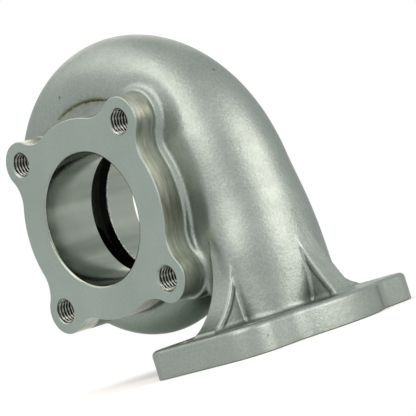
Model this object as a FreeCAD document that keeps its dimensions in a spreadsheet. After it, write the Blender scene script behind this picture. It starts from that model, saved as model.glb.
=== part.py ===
import FreeCAD, Part
import math
import os

# Turbocharger turbine housing, one stainless casting, in millimetres.
# The origin is the centre of the outlet bore on the machined outlet face.
# The turbine axis is Y and points into the housing, Z is up and the inlet flange lies at the bottom.

doc = FreeCAD.newDocument("turbine_housing")

# Driving dimensions. Every independent size has one row.
SIZES = [
    ("outlet_bore_d", 52.0, "bore at the outlet face, all the way to the throat"),
    ("outlet_bore_depth", 25.2, "face to near edge of the throat"),
    ("outlet_thick", 9.5, "outlet flange thickness"),
    ("outlet_body_r", 39.3, "convex outline round the bore"),
    ("outlet_ear_r", 9.3, "ear outline round each hole"),
    ("outlet_web_r", 12.0, "hollow outline between ear and bore"),
    ("outlet_pcd", 86.0, "pitch circle of the four tapped holes"),
    ("outlet_hole_d", 8.5, "tapping size for M10"),
    ("outlet_hole_depth", 12.5, "depth of the tapped holes"),
    ("outlet_hole_chamfer", 0.9, "chamfer at the hole mouths"),
    ("outlet_bore_chamfer", 0.8, "chamfer at the bore mouth"),
    ("collar_grow", 0.7, "step from the machined edge out to the cast collar behind it"),
    ("collar_y", 20.0, "outlet face to the end of the cast collar"),
    ("neck_r", 36.5, "neck behind the outlet flange"),
    ("throat_width", 10.5, "axial gap from near to far edge of the throat"),
    ("throat_r", 33.0, "radius to which the throat is cut"),
    ("far_bore_d", 56.0, "bore on the bearing side"),
    ("spigot_d", 70.0, "locating recess on the bearing side"),
    ("spigot_depth", 4.5, "depth of the locating recess"),
    ("bearing_face_y", 57.5, "outlet face to bearing side face"),
    ("bearing_ring_d", 95.0, "bearing side ring"),
    ("bearing_ring_thick", 11.0, "bearing side ring thickness"),
    ("bearing_pcd", 82.0, "pitch circle of the bearing side holes"),
    ("bearing_hole_d", 5.0, "tapping size for M6"),
    ("bearing_hole_depth", 9.0, "depth of the bearing side holes"),
    ("scroll_y", 30.0, "outlet face to the middle plane of the scroll"),
    ("scroll_start_r", 71.7, "outer radius where the duct joins"),
    ("scroll_end_r", 48.4, "outer radius at the small end"),
    ("scroll_wave_1", 2.2, "departure from an even spiral, half wave"),
    ("scroll_wave_2", 1.6, "departure from an even spiral, full wave"),
    ("scroll_wave_3", -1.5, "departure from an even spiral, wave and a half"),
    ("scroll_wave_4", -0.7, "departure from an even spiral, double wave"),
    ("scroll_angle", 320.0, "degrees from the duct to the small end"),
    ("overlap_angle", 25.0, "further degrees over which the small end dies into the duct"),
    ("tube_start_r", 21.5, "outer section radius where the duct joins"),
    ("tube_end_r", 13.5, "outer section radius at the small end"),
    ("wall", 4.5, "wall at the outside of the scroll and in the duct"),
    ("gas_start_r", 17.0, "inner section radius where the duct joins"),
    ("gas_end_r", 7.4, "inner section radius at the small end"),
    ("duct_mid_x", 53.2, "duct centre half way down the round part"),
    ("duct_low_x", 54.2, "duct centre at the end of the round part"),
    ("duct_low_z", -32.0, "end of the round part"),
    ("foot_flare_z", -40.0, "height at which the foot begins to flare"),
    ("duct_low_r", 22.3, "outer section radius at the end of the round part"),
    ("inlet_x", 53.2, "centre of the inlet flange"),
    ("inlet_y", 29.0, "centre of the inlet flange"),
    ("inlet_face_z", -64.8, "inlet face"),
    ("inlet_thick", 10.5, "inlet flange thickness"),
    ("inlet_wide", 58.2, "inlet flange across the turbine axis"),
    ("inlet_long", 96.4, "inlet flange along the turbine axis"),
    ("inlet_ear_r", 12.1, "corner radius of the inlet flange"),
    ("inlet_swell_r", 37.0, "swelling of the long sides round the port"),
    ("inlet_swell_web_r", 14.0, "hollow between swelling and long side"),
    ("inlet_hole_d", 9.0, "clearance for M8"),
    ("inlet_edge_r", 2.0, "rounding of the upper edge of the inlet flange"),
    ("port_wide", 30.0, "port across the turbine axis"),
    ("port_long", 38.0, "port along the turbine axis"),
    ("port_corner_r", 6.0, "port corner radius"),
    ("foot_wide", 41.0, "foot of the duct across the turbine axis"),
    ("foot_long", 47.0, "foot of the duct along the turbine axis"),
    ("foot_corner_r", 10.0, "corner radius of the foot"),
    ("foot_lean_angle", 28.0, "degrees from each flat's middle to where the foot's corners start"),
    ("rib_thick", 10.0, "rib on each flat of the duct"),
    ("rib_top_z", -30.0, "upper end of the ribs"),
    ("rib_root", 22.5, "port centre to the upper end of a rib's edge"),
    ("rib_long_reach", 41.0, "port centre to the rib tips along the turbine axis"),
    ("rib_wide_reach", 33.0, "port centre to the rib tips across the turbine axis"),
    ("rib_long_sag", 3.4, "hollow of the long ribs' edge"),
    ("rib_wide_sag", 0.8, "hollow of the short ribs' edge"),
    ("rib_tip", 1.2, "height of the rib tips above the inlet flange"),
    ("rib_sink", 1.0, "depth to which the ribs run into the inlet flange"),
    ("rib_inner", 5.0, "port centre to the inner end of the ribs, inside the duct's wall"),
    ("inlet_hole_room", 20.0, "free height above the inlet holes for screw heads"),
    ("cut_past", 2.0, "how far the bores and holes are cut past the faces they open in"),
]
sheet = doc.addObject("Spreadsheet::Sheet", "Sizes")
for row, (alias, value, note) in enumerate(SIZES, start=1):
    sheet.set("A%d" % row, alias)
    sheet.set("B%d" % row, str(value))
    sheet.set("C%d" % row, note)
    sheet.setAlias("B%d" % row, alias)
doc.recompute()


def size(alias):
    return float(sheet.get(alias))


def plane(body, role):
    for feature in body.Origin.OriginFeatures:
        if feature.Role == role:
            return feature
    raise RuntimeError("no plane " + role)


def sketch_on(body, role, name):
    sketch = body.newObject("Sketcher::SketchObject", name)
    sketch.AttachmentSupport = [(plane(body, role), "")]
    sketch.MapMode = "FlatFace"
    return sketch


def point(centre, radius, angle):
    return FreeCAD.Vector(
        centre.x + radius * math.cos(angle), centre.y + radius * math.sin(angle), 0)


def arc_at(centre, radius, first, last):
    middle = (first + last) / 2
    return Part.Arc(
        point(centre, radius, first), point(centre, radius, middle), point(centre, radius, last))


def polar(vector):
    return math.atan2(vector.y, vector.x)


V = FreeCAD.Vector

# Outlet flange: four ears on the pitch circle, joined to the round middle by hollow webs.
pitch_r = size("outlet_pcd") / 2
thick = size("outlet_thick")


def near(angle, reference):
    while angle > reference + math.pi:
        angle -= 2 * math.pi
    while angle < reference - math.pi:
        angle += 2 * math.pi
    return angle


def ear_outline(grow):
    body_r = size("outlet_body_r") + grow
    ear_r = size("outlet_ear_r") + grow
    web_r = size("outlet_web_r") - grow
    side_a = body_r + web_r
    side_b = ear_r + web_r
    swing = math.acos((pitch_r ** 2 + side_a ** 2 - side_b ** 2) / (2 * pitch_r * side_a))
    middle = V(0, 0, 0)
    curves = []
    for quarter in range(4):
        at = math.radians(45 + 90 * quarter)
        ear = point(middle, pitch_r, at)
        before = point(middle, side_a, at - swing)
        after = point(middle, side_a, at + swing)
        start = at - swing + math.pi
        curves.append(arc_at(before, web_r, start, near(polar(ear - before), start)))
        first = polar(before - ear)
        last = near(polar(after - ear), first + math.pi)
        curves.append(arc_at(ear, ear_r, first, last))
        end = at + swing + math.pi
        curves.append(arc_at(after, web_r, near(polar(ear - after), end), end))
        curves.append(arc_at(middle, body_r, at + swing, at + math.pi / 2 - swing))
    return curves


def ear_plate(name, grow, start, end):
    body = doc.addObject("PartDesign::Body", name)
    sketch = sketch_on(body, "XZ_Plane", name + "Outline")
    sketch.setExpression("AttachmentOffset.Base.z", "-(%s)" % start)
    for curve in ear_outline(grow):
        sketch.addGeometry(curve, False)
    doc.recompute()
    pad = body.newObject("PartDesign::Pad", name + "Plate")
    pad.Profile = sketch
    pad.setExpression("Length", "%s - %s" % (end, start))
    pad.Reversed = True
    doc.recompute()
    return body


flange_body = ear_plate("OutletFlange", 0.0, "0", "Sizes.outlet_thick")
collar_body = ear_plate("Collar", size("collar_grow"), "Sizes.outlet_thick", "Sizes.collar_y")


def circle(name, radius, base, turn):
    quarter = math.pi / 2
    middle = V(0, 0, 0)
    ring = doc.addObject("Part::Feature", name)
    ring.Shape = Part.Wire([
        arc_at(middle, radius, quarter * k, quarter * (k + 1)).toShape() for k in range(4)])
    ring.Placement = FreeCAD.Placement(base, FreeCAD.Rotation(V(0, 1, 0), -turn))
    return ring


# Scroll and round part of the duct: one skin through circles that stand in planes through the
# turbine axis, the outer skin first and then the gas passage.
scroll_y = size("scroll_y")
span = size("scroll_angle")
full_span = span + size("overlap_angle")
low_z = size("duct_low_z")
wall = size("wall")


def scroll_r(u):
    radius = size("scroll_start_r") + (size("scroll_end_r") - size("scroll_start_r")) * u
    for wave in range(1, 5):
        radius += size("scroll_wave_%d" % wave) * math.sin(wave * math.pi * u)
    return radius


STEP = 20.0
MEET = 240.0
turns = [STEP * k for k in range(int(full_span // STEP) + 1)]
if full_span - turns[-1] > 1.0:
    turns.append(full_span)


def loft(name, sections, ruled=False):
    solid = doc.addObject("Part::Loft", name)
    solid.Sections = sections
    solid.Solid = True
    solid.Ruled = ruled
    return solid


def skin(prefix, start, end, low, inset):
    start_r = size(start)
    end_r = size(end)
    rings = [circle(prefix + "Low", low, V(size("duct_low_x"), scroll_y, low_z), 0),
             circle(prefix + "Mid", (low + start_r) / 2, V(size("duct_mid_x"), scroll_y, low_z / 2), 0)]
    big = list(rings)
    small = []
    for turn in turns:
        u = turn / span
        radius = start_r + (end_r - start_r) * u
        centre = scroll_r(u) - inset - radius
        at = math.radians(turn)
        ring = circle("%s%03d" % (prefix, round(turn)), radius,
                      V(centre * math.cos(at), scroll_y, centre * math.sin(at)), turn)
        if turn <= MEET:
            big.append(ring)
        if turn >= MEET:
            small.append(ring)
    return [loft(prefix + "Big", big), loft(prefix + "Small", small)]


outer_skin = skin("Skin", "tube_start_r", "tube_end_r", size("duct_low_r"), 0.0)
gas_skin = skin("Gas", "gas_start_r", "gas_end_r", size("duct_low_r") - wall, wall)

# Foot of the duct: from round to the rounded rectangle round the port.
inlet_x = size("inlet_x")
inlet_y = size("inlet_y")
face_z = size("inlet_face_z")
flange_top = face_z + size("inlet_thick")


def eight_arcs(name, centre, radius):
    lean = math.radians(size("foot_lean_angle"))
    curves = []
    for quarter in range(4):
        at = math.pi / 2 * quarter
        for first, last in ((at - lean, at + lean), (at + lean, at + math.pi / 2 - lean)):
            curves.append(arc_at(V(0, 0, 0), radius, first, last))
    wire = doc.addObject("Part::Feature", name)
    wire.Shape = Part.Wire([curve.toShape() for curve in curves])
    wire.Placement = FreeCAD.Placement(centre, FreeCAD.Rotation())
    return wire


def rounded(name, centre, wide, long, corner):
    half_x = wide / 2 - corner
    half_y = long / 2 - corner
    edges = []
    corners = [V(half_x, half_y, 0), V(-half_x, half_y, 0), V(-half_x, -half_y, 0), V(half_x, -half_y, 0)]
    for quarter in range(4):
        at = math.pi / 2 * quarter
        here = corners[quarter]
        back = corners[quarter - 1]
        edges.append(Part.LineSegment(point(back, corner, at), point(here, corner, at)).toShape())
        edges.append(arc_at(here, corner, at, at + math.pi / 2).toShape())
    wire = doc.addObject("Part::Feature", name)
    wire.Shape = Part.Wire(edges)
    wire.Placement = FreeCAD.Placement(centre, FreeCAD.Rotation())
    return wire


low_x = size("duct_low_x")
low_r = size("duct_low_r")
flare_z = size("foot_flare_z")
foot = loft("Foot", [
    eight_arcs("FootRound", V(low_x, scroll_y, low_z), low_r),
    eight_arcs("FootNeck", V(low_x, scroll_y, flare_z), low_r),
    rounded("FootBase", V(inlet_x, inlet_y, flange_top), size("foot_wide"), size("foot_long"),
            size("foot_corner_r"))])
foot_gas = loft("FootGas", [
    eight_arcs("PortRound", V(low_x, scroll_y, low_z), low_r - wall),
    rounded("PortMouth", V(inlet_x, inlet_y, face_z), size("port_wide"), size("port_long"),
            size("port_corner_r"))], True)

# Inlet flange: a rounded rectangle whose long sides swell round the port.
half_x = size("inlet_wide") / 2
half_y = size("inlet_long") / 2
corner_r = size("inlet_ear_r")
swell_r = size("inlet_swell_r")
swell_web_r = size("inlet_swell_web_r")
web_y = math.sqrt((swell_r + swell_web_r) ** 2 - (half_x + swell_web_r) ** 2)
inlet_body = doc.addObject("PartDesign::Body", "InletFlange")
inlet_sketch = sketch_on(inlet_body, "XY_Plane", "InletOutline")
inlet_sketch.setExpression("AttachmentOffset.Base.z", "Sizes.inlet_face_z")
middle = V(inlet_x, inlet_y, 0)
for side in (1, -1):
    turn = 0 if side == 1 else math.pi
    swing_to = polar(V(half_x + swell_web_r, web_y, 0))
    upper = middle + V(side * (half_x + swell_web_r), side * web_y, 0)
    lower = middle + V(side * (half_x + swell_web_r), -side * web_y, 0)
    inlet_sketch.addGeometry(arc_at(middle, swell_r, turn - swing_to, turn + swing_to), False)
    inlet_sketch.addGeometry(
        arc_at(upper, swell_web_r, turn + math.pi, turn + math.pi + swing_to), False)
    inlet_sketch.addGeometry(
        arc_at(lower, swell_web_r, turn + math.pi - swing_to, turn + math.pi), False)
    for way in (1, -1):
        ear = middle + V(side * (half_x - corner_r), way * (half_y - corner_r), 0)
        edge_x = inlet_x + side * half_x
        inlet_sketch.addGeometry(Part.LineSegment(
            V(edge_x, inlet_y + way * web_y, 0), V(edge_x, ear.y, 0)), False)
        first = 0 if (side, way) == (1, 1) else math.pi / 2 if (side, way) == (-1, 1) else \
            math.pi if (side, way) == (-1, -1) else 3 * math.pi / 2
        inlet_sketch.addGeometry(arc_at(ear, corner_r, first, first + math.pi / 2), False)
for way in (1, -1):
    edge_y = inlet_y + way * half_y
    inlet_sketch.addGeometry(Part.LineSegment(
        V(inlet_x - half_x + corner_r, edge_y, 0), V(inlet_x + half_x - corner_r, edge_y, 0)), False)
doc.recompute()
inlet_pad = inlet_body.newObject("PartDesign::Pad", "InletPlate")
inlet_pad.Profile = inlet_sketch
inlet_pad.setExpression("Length", "Sizes.inlet_thick")
doc.recompute()
top_face = max(range(len(inlet_pad.Shape.Faces)),
               key=lambda k: inlet_pad.Shape.Faces[k].CenterOfMass.z)
inlet_round = inlet_body.newObject("PartDesign::Fillet", "InletEdge")
inlet_round.Base = (inlet_pad, ["Face%d" % (top_face + 1)])
inlet_round.setExpression("Radius", "Sizes.inlet_edge_r")
doc.recompute()

# Core: the neck behind the outlet flange and the ring on the bearing side.
core_body = doc.addObject("PartDesign::Body", "Core")


def turned(body, name, profile):
    sketch = sketch_on(body, "XY_Plane", name + "Profile")
    for k, (radius, along) in enumerate(profile):
        next_radius, next_along = profile[(k + 1) % len(profile)]
        sketch.addGeometry(Part.LineSegment(V(radius, along, 0), V(next_radius, next_along, 0)), False)
    doc.recompute()
    revolution = body.newObject("PartDesign::Revolution", name)
    revolution.Profile = sketch
    revolution.ReferenceAxis = (sketch, ["V_Axis"])
    revolution.Angle = 360
    return revolution


bore_r = size("outlet_bore_d") / 2
mouth = size("outlet_bore_chamfer")
throat_y = size("outlet_bore_depth")
far_y = throat_y + size("throat_width")
far_r = size("far_bore_d") / 2
face_y = size("bearing_face_y")
ring_y = face_y - size("bearing_ring_thick")
spigot_y = face_y - size("spigot_depth")
throat_r = size("throat_r")
neck_r = size("neck_r")
ring_r = size("bearing_ring_d") / 2
past = size("cut_past")
turned(core_body, "CoreTurn", [
    (0, thick / 2), (neck_r, thick / 2), (neck_r, ring_y), (ring_r, ring_y), (ring_r, face_y), (0, face_y)])
gas_body = doc.addObject("PartDesign::Body", "GasCore")
turned(gas_body, "GasTurn", [
    (0, -past), (bore_r + mouth, -past), (bore_r + mouth, 0), (bore_r, mouth), (bore_r, throat_y),
    (throat_r, throat_y), (throat_r, far_y), (far_r, far_y), (far_r, spigot_y),
    (size("spigot_d") / 2, spigot_y), (size("spigot_d") / 2, face_y + past), (0, face_y + past)])
doc.recompute()

# Ribs from the flats of the duct down to the inlet flange, each with a hollow edge.
rib_top = size("rib_top_z")
rib_thick = size("rib_thick")
rib_root = size("rib_root")
rib_inner = size("rib_inner")
rib_sink = size("rib_sink")
tip_z = flange_top + size("rib_tip")


def rib(name, reach, sag, angle):
    side = -rib_thick / 2
    root = V(rib_root, side, rib_top)
    tip = V(reach, side, tip_z)
    chord = tip - root
    inward = V(chord.z, 0, -chord.x).normalize()
    belly = (root + tip) * 0.5 + inward * sag
    foot_reach = V(reach, side, flange_top - rib_sink)
    foot_inner = V(rib_inner, side, flange_top - rib_sink)
    corners = [tip, foot_reach, foot_inner, V(rib_inner, side, rib_top), root]
    edges = [Part.Arc(root, belly, tip).toShape()]
    for here, there in zip(corners, corners[1:]):
        edges.append(Part.LineSegment(here, there).toShape())
    solid = doc.addObject("Part::Feature", name)
    solid.Shape = Part.Face(Part.Wire(edges)).extrude(V(0, rib_thick, 0))
    solid.Placement = FreeCAD.Placement(V(inlet_x, inlet_y, 0), FreeCAD.Rotation(V(0, 0, 1), angle))
    return solid


ribs = [rib("RibFront", size("rib_long_reach"), size("rib_long_sag"), -90),
        rib("RibBack", size("rib_long_reach"), size("rib_long_sag"), 90),
        rib("RibRight", size("rib_wide_reach"), size("rib_wide_sag"), 0),
        rib("RibLeft", size("rib_wide_reach"), size("rib_wide_sag"), 180)]

# Tapped holes, at tapping size, and clearance holes.
toward = FreeCAD.Rotation(V(1, 0, 0), -90)


def along_y(name, radius, length, x, y, z):
    solid = doc.addObject("Part::Cylinder", name)
    solid.setExpression("Radius", radius)
    solid.setExpression("Height", length)
    solid.Placement = FreeCAD.Placement(V(x, y, z), toward)
    return solid


mouths = []
taps = []
for quarter in range(4):
    at = math.radians(45 + 90 * quarter)
    x = pitch_r * math.cos(at)
    z = pitch_r * math.sin(at)
    taps.append(along_y("Tap%d" % quarter, "Sizes.outlet_hole_d / 2", "Sizes.outlet_hole_depth", x, 0, z))
    cone = doc.addObject("Part::Cone", "TapMouth%d" % quarter)
    cone.setExpression("Radius1", "Sizes.outlet_hole_d / 2 + Sizes.outlet_hole_chamfer")
    cone.setExpression("Radius2", "Sizes.outlet_hole_d / 2")
    cone.setExpression("Height", "Sizes.outlet_hole_chamfer")
    cone.Placement = FreeCAD.Placement(V(x, 0, z), toward)
    mouths.append(cone)
for turn in range(6):
    at = math.radians(30 + 60 * turn)
    ring_pitch = size("bearing_pcd") / 2
    taps.append(along_y("RingTap%d" % turn, "Sizes.bearing_hole_d / 2", "Sizes.bearing_hole_depth",
                        ring_pitch * math.cos(at), face_y - size("bearing_hole_depth"),
                        ring_pitch * math.sin(at)))
for side in (1, -1):
    for way in (1, -1):
        hole = doc.addObject("Part::Cylinder", "InletHole%s%s" % ("R" if side == 1 else "L",
                                                                  "B" if way == 1 else "F"))
        hole.setExpression("Radius", "Sizes.inlet_hole_d / 2")
        hole.setExpression("Height", "Sizes.inlet_thick + Sizes.inlet_hole_room")
        hole.Placement = FreeCAD.Placement(
            V(inlet_x + side * (half_x - corner_r), inlet_y + way * (half_y - corner_r), face_z - past),
            FreeCAD.Rotation())
        taps.append(hole)
doc.recompute()

solid = doc.addObject("Part::MultiFuse", "Casting")
solid.Shapes = outer_skin + [foot, flange_body, collar_body, inlet_body, core_body] + ribs
hollow = doc.addObject("Part::MultiFuse", "Hollow")
hollow.Shapes = gas_skin + [foot_gas, gas_body] + taps + mouths
doc.recompute()
housing = doc.addObject("Part::Cut", "TurbineHousing")
housing.Base = solid
housing.Tool = hollow
doc.recompute()

NODES = {"turbine_housing": housing}
for obj in doc.Objects:
    if "Invalid" in obj.State or "Error" in obj.State:
        raise RuntimeError("failed: " + obj.Name)
os.makedirs("parts", exist_ok=True)
for node, obj in NODES.items():
    shape = obj.Shape
    if shape.isNull() or not shape.isValid() or len(shape.Solids) != 1:
        raise RuntimeError("%s: %d solids, valid %s" % (node, len(shape.Solids), shape.isValid()))
    shape.Solids[0].exportStep("parts/%s.step" % node)
    box = shape.BoundBox
    print(node, "volume %.0f" % shape.Volume, "box", box.XMin, box.YMin, box.ZMin, box.XMax, box.YMax, box.ZMax)
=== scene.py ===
import math

import bpy
import numpy as np
from mathutils import Matrix, Vector
from mathutils.geometry import tessellate_polygon

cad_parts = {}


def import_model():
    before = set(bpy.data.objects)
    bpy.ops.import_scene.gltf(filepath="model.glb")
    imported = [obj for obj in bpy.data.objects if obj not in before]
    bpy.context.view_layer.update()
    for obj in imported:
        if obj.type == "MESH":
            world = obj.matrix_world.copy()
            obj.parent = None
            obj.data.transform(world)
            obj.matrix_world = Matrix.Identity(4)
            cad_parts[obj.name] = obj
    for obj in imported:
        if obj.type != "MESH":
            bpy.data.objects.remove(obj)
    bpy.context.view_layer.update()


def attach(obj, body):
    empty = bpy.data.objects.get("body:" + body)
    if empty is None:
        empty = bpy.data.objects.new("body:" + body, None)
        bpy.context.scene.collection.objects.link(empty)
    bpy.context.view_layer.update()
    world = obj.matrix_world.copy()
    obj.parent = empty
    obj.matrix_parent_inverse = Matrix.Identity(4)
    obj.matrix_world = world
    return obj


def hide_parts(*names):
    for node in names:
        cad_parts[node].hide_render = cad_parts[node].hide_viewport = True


# The turbine housing's looks. The cast skin is the zero surface of a distance field, so that every
# junction gets the fillet of a real casting. The machined flanges, bores and threads are exact
# meshes laid over it. Shapes are worked out in millimetres, in the frame of the CAD.

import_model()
MM = 0.001

# Sizes of the CAD source: the bores along the turbine axis, which is y.
BORE_R = 26.0
THROAT_Y = 25.2
THROAT_END_Y = 35.7
THROAT_R = 33.0
FAR_R = 28.0
SPIGOT_R = 35.0
SPIGOT_Y = 53.0
FACE_Y = 57.5
RING_R = 47.5
RING_Y = 46.5
RING_PITCH_R = 41.0
RING_HOLES = 6
RING_HOLE_R = 2.5
RING_HOLE_DEPTH = 9.0
NECK_R = 36.5

# Sizes of the CAD source: the outlet flange, its outline and its M10 holes.
FLANGE_THICK = 9.5
COLLAR_Y = 20.0
BODY_R = 39.3
EAR_R = 9.3
WEB_R = 12.0
PITCH_R = 43.0
HOLE_XZ = PITCH_R / math.sqrt(2)
TAP_R = 4.25
TAP_DEPTH = 12.5

# Sizes of the CAD source: the scroll, whose angles are in degrees from the duct.
SCROLL_Y = 30.0
SCROLL_START_R = 71.7
SCROLL_END_R = 48.4
SCROLL_WAVES = (2.2, 1.6, -1.5, -0.7)
SCROLL_ANGLE = 320.0
END_ANGLE = 345.0
# Section radii where the duct joins and at the small end, outside and inside.
TUBE_R = (21.5, 13.5)
GAS_R = (17.0, 7.4)
WALL = 4.5
DUCT_LOW_R = 22.3
DUCT_LOW_X = 54.2
DUCT_MID_X = 53.2
DUCT_LOW_Z = -32.0
FLARE_Z = -40.0

# Sizes of the CAD source: the inlet flange, its port and the ribs.
INLET = (53.2, 29.0)
INLET_FACE_Z = -64.8
INLET_TOP_Z = -54.3
INLET_HALF = (29.1, 48.2)
INLET_CORNER_R = 12.1
INLET_HOLE_R = 4.5
INLET_HOLE_AT = (INLET_HALF[0] - INLET_CORNER_R, INLET_HALF[1] - INLET_CORNER_R)
SWELL_R = 37.0
SWELL_WEB_R = 14.0
PORT_HALF = (15.0, 19.0)
PORT_CORNER_R = 6.0
FOOT_HALF = (20.5, 23.5)
RIB_HALF = 5.0
RIB_TOP_Z = -30.0
RIB_ROOT = 22.5
RIB_TIP_Z = INLET_TOP_Z + 1.2
# Reach from the port's centre and sag of the hollow edge.
LONG_RIB = (41.0, 3.4)
WIDE_RIB = (33.0, 0.8)

# Soft forms of the scroll and the duct.
SPINE_LOW = -60.0
SPINE_HIGH = 362.0
SMOOTH_DEGREES = 8.0
SMOOTH_REACH = 24
DUCT_BLEND = 9.0
NECK_BLEND = 9.0
NECK_START_Y = 6.0
NECK_END_Y = RING_Y + 2.0
RING_EDGE = 1.0
RING_FILLET = 3.0
FOOT_CORNER_R = 15.0
FOOT_FILLET = 2.2
FLARE_POWER = 1.6
# The duct's swell on the outlet side: how far out, where it starts and over what height.
DUCT_SWELL = 2.7
DUCT_SWELL_START_Z = -8.0
DUCT_SWELL_FADE = 24.0

# Forms round the outlet flange. The outline of a place is its distance from the flange's edge.
COLLAR_GROW = 0.15
COLLAR_START_Y = 4.0
COLLAR_EDGE = 1.1
COLLAR_FILLET = 0.8
RIM_GROW = 1.7
RIM_FILLET = 1.8
VALLEY_OUTLINE = 3.9
VALLEY_Y = -1.4
VALLEY_R = 9.0
VALLEY_MORE_R = 3.0
VALLEY_EDGE = 4.0
CUTTER_REACH = 5.0
CUTTER_SINK = 0.8
POCKET_DEPTH = 2.2
POCKET_EDGE = 0.6
# Stretches of the outline: direction in radians, cosine where one starts, and how far it fades in.
RIM_STRETCH = (0.21, 0.2, 0.35)
VALLEY_STRETCH = (0.20, 0.50, 0.35)
POCKET_STRETCH = (1.55, 0.90, 0.07)

# Forms of the ribs: fillet, rounded edges, and a raised rim along the hollow edge.
RIB_FILLET = 1.2
RIB_EDGE = 0.7
RIB_RIM = 1.7
RIB_RIM_DEPTH = 0.45
RIB_RIM_FADE = 1.4
RIB_INNER = 4.0
RIB_PAST_TOP = 8.0
RIB_TOP_BEND = 0.03
# The two wide ribs thin towards their upper end: by how much, from where and over what height.
WIDE_RIB_THIN = 0.25
WIDE_RIB_THIN_Z = -42.0
WIDE_RIB_THIN_FADE = 12.0

# Edges and threads of the machined surfaces.
BORE_CHAMFER = 0.8
HOLE_CHAMFER = 0.5
SPIGOT_CHAMFER = 1.0
SPIGOT_CHAMFER_Y = 56.0
LEAD_IN = 2.8
LEAD_IN_Y = 50.3
INLET_EDGE_R = 2.0
INLET_MIDDLE_Z = -60.0
THREAD_PITCH = 1.5
THREAD_HEIGHT = 0.85
THREAD_STEEP = 2.7
THREAD_MOUTH_R = 5.25
# Faces nearer to the flange's face than the first are the mouth's chamfer, and faces further out
# than the second are the groove.
THREAD_MOUTH_Y = 0.6
THREAD_GROOVE_R = TAP_R + 0.40
# The burr: its thickness, how much the ragged waves add, and how deep it sits in the lip.
BURR_THICK = 0.20
BURR_JAG = 0.34
BURR_SINK = 0.05

# How the cast skin stays under the machined surfaces and out of their holes.
SKIN_SINK = 0.25
SKIN_SINK_TOP = 0.06
BORE_ROOM = 0.6
END_ROOM = 0.3
THROAT_ROOM = 0.2
TAP_ROOM_R = 5.3
LEAD_IN_SLOPE = 1.04
SPIGOT_SLOPE = 0.67
INLET_HOLE_ROOM_Z = -45.0

# How far duct and ribs run into the inlet flange.
SINK = 3.0
# A distance that stands for far away.
FAR_AWAY = 99.0

# The corners and edges of a grid cell.
CORNERS = [(i, j, k) for i in (0, 1) for j in (0, 1) for k in (0, 1)]
EDGES = [(a, b) for a in range(8) for b in range(a + 1, 8)
         if sum(p != q for p, q in zip(CORNERS[a], CORNERS[b])) == 1]
# The four corners of a rectangle, counter-clockwise from the one at plus and plus.
SIGNS = ((1, 1), (-1, 1), (-1, -1), (1, -1))

# Fineness of the meshes.
GRID_STEP = 0.62
GRID_LOW = np.array([-63.0, -22.0, -67.0])
GRID_HIGH = np.array([94.0, 80.0, 74.0])
CAST_TRIANGLES = 150_000
# The least square of a slope that a point is moved by, and how far it may move each time.
LEAST_SLOPE = 0.2
FIRST_SETTLE = 0.6 * GRID_STEP
LAST_SETTLE = 0.3
NORMAL_STEP = 0.12
# Skin nearer to the gas than this is wall of the passage.
PASSAGE_REACH = 0.4
ROUND = 192
RING_HOLE_ROUND = 28
INLET_HOLE_ROUND = 40
THREAD_ROUND = 56
THREAD_ROWS_PER_TURN = 9
BURR_POINTS = 1400


# The distance field
def fuse(a, b, r):
    """Union of two fields with a concave fillet of radius r."""
    return np.maximum(r, np.minimum(a, b)) - np.hypot(np.maximum(r - a, 0), np.maximum(r - b, 0))


def common(a, b, r):
    """Intersection of two fields with a convex edge of radius r."""
    return np.minimum(-r, np.maximum(a, b)) + np.hypot(np.maximum(r + a, 0), np.maximum(r + b, 0))


def melt(a, b, reach):
    """Union of two fields that flow into each other with no line where the blend starts."""
    h = np.maximum(reach - np.abs(a - b), 0) / reach
    return np.minimum(a, b) - h ** 3 * reach / 6


def slab(value, low, high):
    return np.maximum(low - value, value - high)


def ease(t):
    t = np.clip(t, 0, 1)
    return t * t * (3 - 2 * t)


def box_2d(x, y, half_x, half_y, corner):
    dx = np.abs(x) - half_x + corner
    dy = np.abs(y) - half_y + corner
    outside = np.hypot(np.maximum(dx, 0), np.maximum(dy, 0))
    return outside + np.minimum(np.maximum(dx, dy), 0) - corner


def spine(knots, values):
    """A smooth table of a size along the scroll, in degrees from the duct; the duct is below 0."""
    at = np.arange(SPINE_LOW, SPINE_HIGH, 1.0)
    table = np.interp(at, knots, values)
    weight = np.exp(-0.5 * (np.arange(-SMOOTH_REACH, SMOOTH_REACH + 1) / SMOOTH_DEGREES) ** 2)
    padded = np.pad(table, SMOOTH_REACH, mode="reflect", reflect_type="odd")
    return at, np.convolve(padded, weight / weight.sum(), mode="valid")


def scroll_r(u):
    """Outer radius at a share u of the scroll's angle: an even spiral and four waves."""
    radius = SCROLL_START_R - (SCROLL_START_R - SCROLL_END_R) * u
    for k, wave in enumerate(SCROLL_WAVES, start=1):
        radius = radius + wave * np.sin(k * math.pi * u)
    return radius


DEGREES_PER_MM = math.degrees(1 / (SCROLL_START_R - TUBE_R[0]))
DUCT_Z = np.array([FLARE_Z, DUCT_LOW_Z, DUCT_LOW_Z / 2])
TURNS = np.arange(0.0, END_ANGLE + 1.0, 5.0)


def tube_tables(section_r, low_r, inset):
    """The section's centre and radius along the duct and the scroll."""
    start_r, end_r = section_r
    radius = start_r + (end_r - start_r) * TURNS / SCROLL_ANGLE
    centre = scroll_r(TURNS / SCROLL_ANGLE) - inset - radius
    knots = np.concatenate([DUCT_Z * DEGREES_PER_MM, TURNS])
    radii = np.concatenate([[low_r, low_r, (low_r + start_r) / 2], radius])
    centres = np.concatenate([[DUCT_LOW_X, DUCT_LOW_X, DUCT_MID_X], centre])
    return spine(knots, centres), spine(knots, radii)


SKIN = tube_tables(TUBE_R, DUCT_LOW_R, 0.0)
GAS = tube_tables(GAS_R, DUCT_LOW_R - WALL, WALL)


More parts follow.
